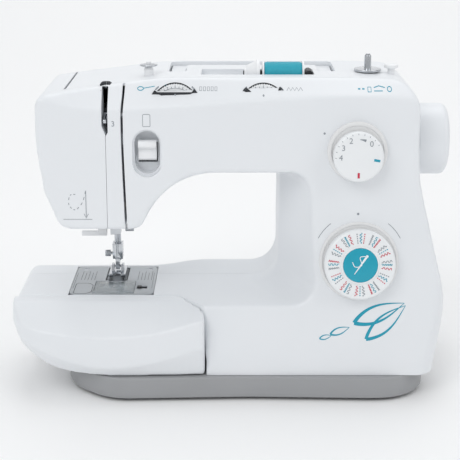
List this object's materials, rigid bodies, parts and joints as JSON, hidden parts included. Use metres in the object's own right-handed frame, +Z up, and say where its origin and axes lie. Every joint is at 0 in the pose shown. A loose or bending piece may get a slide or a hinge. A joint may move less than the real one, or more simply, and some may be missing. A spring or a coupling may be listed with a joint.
{
  "type": "sewing machine",
  "caption": "Free-arm electric household sewing machine with extension table, stitch dials, reverse lever, horizontal spool and handwheel.",
  "frame": {"origin": "on the table top, directly under the main shaft and at the middle of the machine's width", "axes": "+X to the handwheel, +Y to the back, +Z up; the front, with the dials, faces -Y"},
  "size_m": [0.3704, 0.1845, 0.281],
  "materials": {
    "housing_white": "moulded, light orange peel, semi-gloss",
    "base_grey": "moulded, fine grain",
    "steel_satin": "ground steel",
    "chrome": "polished chrome plate",
    "cast_alloy": "die-cast alloy, painted grey",
    "black_rubber": "moulded rubber",
    "dark_plastic": "moulded black",
    "motor_steel": "painted can",
    "gear_plastic": "natural acetal",
    "hook_steel": "satin steel",
    "clear_plastic": "clear acrylic",
    "lever_grey": "moulded grey",
    "lever_white": "moulded white",
    "plate_steel": "brushed, with guide lines",
    "dial_white": "moulded white with printed marks",
    "thread_teal": "wound polyester thread",
    "lamp_lens": "clear lens over a small lamp"
  },
  "bodies": {
    "casing": {"base_tray": "base_grey", "rubber_feet": "black_rubber", "front_cover": "housing_white", "rear_cover": "housing_white", "top_cover": "housing_white", "cast_frame": "cast_alloy", "motor": "motor_steel", "timing_belt": "black_rubber", "motor_belt": "black_rubber", "bobbin_case": "dark_plastic", "presser_spring": "steel_satin", "needle_plate": "plate_steel", "plate_screws": "chrome", "tension_discs": "chrome", "winder_stopper": "lever_white", "winding_guide": "chrome", "lamp": "lamp_lens", "power_inlet": "dark_plastic"},
    "main_shaft": {"main_shaft": "steel_satin", "handwheel": "housing_white", "timing_pulley": "gear_plastic", "drive_pulley": "gear_plastic"},
    "lower_shaft": {"lower_shaft": "steel_satin", "lower_pulley": "gear_plastic"},
    "hook": {"rotary_hook": "hook_steel"},
    "motor_rotor": {"motor_pulley": "steel_satin"},
    "bobbin": {"bobbin": "clear_plastic"},
    "needle_frame": {"needle_bar_frame": "cast_alloy"},
    "needle_bar": {"needle_bar": "chrome", "needle_clamp": "chrome", "needle_clamp_screw": "chrome", "needle": "chrome"},
    "connecting_rod": {"connecting_rod": "cast_alloy"},
    "threader": {"needle_threader": "lever_white"},
    "take_up_lever": {"take_up_lever": "chrome"},
    "presser_bar": {"presser_bar": "chrome", "presser_foot_holder": "chrome", "holder_screw": "chrome"},
    "presser_foot": {"presser_foot": "chrome"},
    "presser_lifter": {"presser_lifter": "lever_grey"},
    "feed_bar": {"feed_bar": "cast_alloy"},
    "feed_dog": {"feed_dog": "steel_satin"},
    "bobbin_cover": {"bobbin_cover": "clear_plastic"},
    "cover_latch": {"cover_latch": "dark_plastic"},
    "tension_dial": {"tension_dial": "dial_white"},
    "stitch_width_dial": {"stitch_width_dial": "dial_white"},
    "stitch_length_dial": {"stitch_length_dial": "dial_white"},
    "pattern_dial": {"pattern_dial": "dial_white", "pattern_cams": "gear_plastic"},
    "reverse_lever": {"reverse_lever": "lever_white"},
    "winder_lever": {"winder_lever": "steel_satin"},
    "winder_spindle": {"winder_spindle": "chrome"},
    "spool_pin": {"spool_pin": "dark_plastic"},
    "thread_spool": {"thread_spool": "thread_teal"},
    "spool_cap": {"spool_cap": "lever_white"},
    "carry_handle": {"carry_handle": "housing_white"},
    "face_cover": {"face_cover": "housing_white"},
    "extension_table": {"extension_table": "housing_white"},
    "power_switch": {"power_switch": "dark_plastic"}
  },
  "joints": [
    {"name": "handwheel_turn", "type": "hinge", "parent": "casing", "child": "main_shaft", "pos_m": [0.177, 0, 0.207], "axis": [1, 0, 0], "continuous": true},
    {"name": "lower_shaft_turn", "type": "hinge", "parent": "casing", "child": "lower_shaft", "pos_m": [0, 0, 0.051], "axis": [1, 0, 0], "continuous": true},
    {"name": "hook_turn", "type": "hinge", "parent": "casing", "child": "hook", "pos_m": [-0.101, -0.022, 0.06], "axis": [0, 0, 1], "continuous": true},
    {"name": "motor_turn", "type": "hinge", "parent": "casing", "child": "motor_rotor", "pos_m": [0.1, 0.036, 0.064], "axis": [1, 0, 0], "continuous": true},
    {"name": "bobbin_turn", "type": "hinge", "parent": "casing", "child": "bobbin", "pos_m": [-0.101, -0.022, 0.07], "axis": [0, 0, 1], "continuous": true},
    {"name": "needle_swing", "type": "hinge", "parent": "casing", "child": "needle_frame", "pos_m": [-0.101, -0.01, 0.234], "axis": [0, 1, 0], "range_deg": [-0.9, 0.9]},
    {"name": "needle_bar_travel", "type": "slide", "parent": "needle_frame", "child": "needle_bar", "axis": [0, 0, -1], "range_m": [0, 0.031]},
    {"name": "connecting_rod_swing", "type": "hinge", "parent": "needle_bar", "child": "connecting_rod", "pos_m": [-0.092, 0, 0.186], "axis": [1, 0, 0], "range_deg": [-25, 25]},
    {"name": "threader_pull", "type": "slide", "parent": "needle_frame", "child": "threader", "axis": [0, 0, -1], "range_m": [0, 0.025]},
    {"name": "take_up_turn", "type": "hinge", "parent": "casing", "child": "take_up_lever", "pos_m": [-0.085, -0.03, 0.24], "axis": [-1, 0, 0], "range_deg": [0, 60]},
    {"name": "lifter_turn", "type": "hinge", "parent": "casing", "child": "presser_lifter", "pos_m": [-0.101, 0.02, 0.16], "axis": [1, 0, 0], "range_deg": [0, 50]},
    {"name": "presser_bar_lift", "type": "slide", "parent": "casing", "child": "presser_bar", "axis": [0, 0, 1], "range_m": [0, 0.006], "deforming": ["presser_spring"]},
    {"name": "presser_foot_tilt", "type": "hinge", "parent": "presser_bar", "child": "presser_foot", "pos_m": [-0.101, 0.009, 0.0872], "axis": [1, 0, 0], "range_deg": [-3, 3]},
    {"name": "feed_stroke", "type": "slide", "parent": "casing", "child": "feed_bar", "axis": [0, 1, 0], "range_m": [-0.0025, 0.0025]},
    {"name": "feed_lift", "type": "slide", "parent": "feed_bar", "child": "feed_dog", "axis": [0, 0, 1], "range_m": [0, 0.0014]},
    {"name": "bobbin_cover_lift", "type": "slide", "parent": "casing", "child": "bobbin_cover", "axis": [0, 0, 1], "range_m": [0, 0.03]},
    {"name": "latch_slide", "type": "slide", "parent": "casing", "child": "cover_latch", "axis": [1, 0, 0], "range_m": [0, 0.0035], "stiffness_N_per_m": 300},
    {"name": "tension_dial_turn", "type": "hinge", "parent": "casing", "child": "tension_dial", "pos_m": [-0.0447, -0.038, 0.2415], "axis": [0, 1, 0], "range_deg": [-130, 130]},
    {"name": "width_dial_turn", "type": "hinge", "parent": "casing", "child": "stitch_width_dial", "pos_m": [0.0272, -0.038, 0.2415], "axis": [0, 1, 0], "range_deg": [-110, 110]},
    {"name": "length_dial_turn", "type": "hinge", "parent": "casing", "child": "stitch_length_dial", "pos_m": [0.104, -0.057, 0.206], "axis": [0, -0.9962, 0.0872], "range_deg": [-135, 135]},
    {"name": "pattern_dial_turn", "type": "hinge", "parent": "casing", "child": "pattern_dial", "pos_m": [0.1074, -0.0655, 0.1158], "axis": [0, -0.9877, 0.1564], "continuous": true},
    {"name": "reverse_press", "type": "hinge", "parent": "casing", "child": "reverse_lever", "pos_m": [-0.068, -0.03, 0.2065], "axis": [1, 0, 0], "range_deg": [0, 15], "stiffness_Nm_per_rad": 0.5},
    {"name": "winder_shift", "type": "slide", "parent": "casing", "child": "winder_lever", "axis": [1, 0, 0], "range_m": [0, 0.005]},
    {"name": "winder_turn", "type": "hinge", "parent": "winder_lever", "child": "winder_spindle", "pos_m": [0.116, -0.005, 0.26], "axis": [0, 0, 1], "continuous": true},
    {"name": "spool_pin_tilt", "type": "hinge", "parent": "casing", "child": "spool_pin", "pos_m": [0.066, -0.008, 0.265], "axis": [0, 1, 0], "range_deg": [0, 60]},
    {"name": "spool_turn", "type": "hinge", "parent": "spool_pin", "child": "thread_spool", "pos_m": [0.045, -0.008, 0.265], "axis": [1, 0, 0], "continuous": true},
    {"name": "spool_cap_pull", "type": "slide", "parent": "spool_pin", "child": "spool_cap", "axis": [-1, 0, 0], "range_m": [0, 0.034]},
    {"name": "handle_lift", "type": "hinge", "parent": "casing", "child": "carry_handle", "pos_m": [0.018, 0.0085, 0.2575], "axis": [1, 0, 0], "range_deg": [0, 90]},
    {"name": "face_cover_open", "type": "hinge", "parent": "casing", "child": "face_cover", "pos_m": [-0.1595, 0.05, 0.2], "axis": [0, 0, -1], "range_deg": [0, 80]},
    {"name": "table_pull", "type": "slide", "parent": "casing", "child": "extension_table", "axis": [-1, 0, 0], "range_m": [0, 0.2]},
    {"name": "switch_rock", "type": "hinge", "parent": "casing", "child": "power_switch", "pos_m": [0.174, 0.028, 0.075], "axis": [0, 1, 0], "range_deg": [-7, 7]}
  ],
  "couplings": [
    {"joint": "lower_shaft_turn", "follows": "handwheel_turn", "ratio": 1},
    {"joint": "hook_turn", "follows": "handwheel_turn", "ratio": 2},
    {"joint": "motor_turn", "follows": "handwheel_turn", "ratio": 3.6},
    {"joint": "lifter_turn", "follows": "presser_bar_lift", "rad_per_m": 145.44}
  ]
}
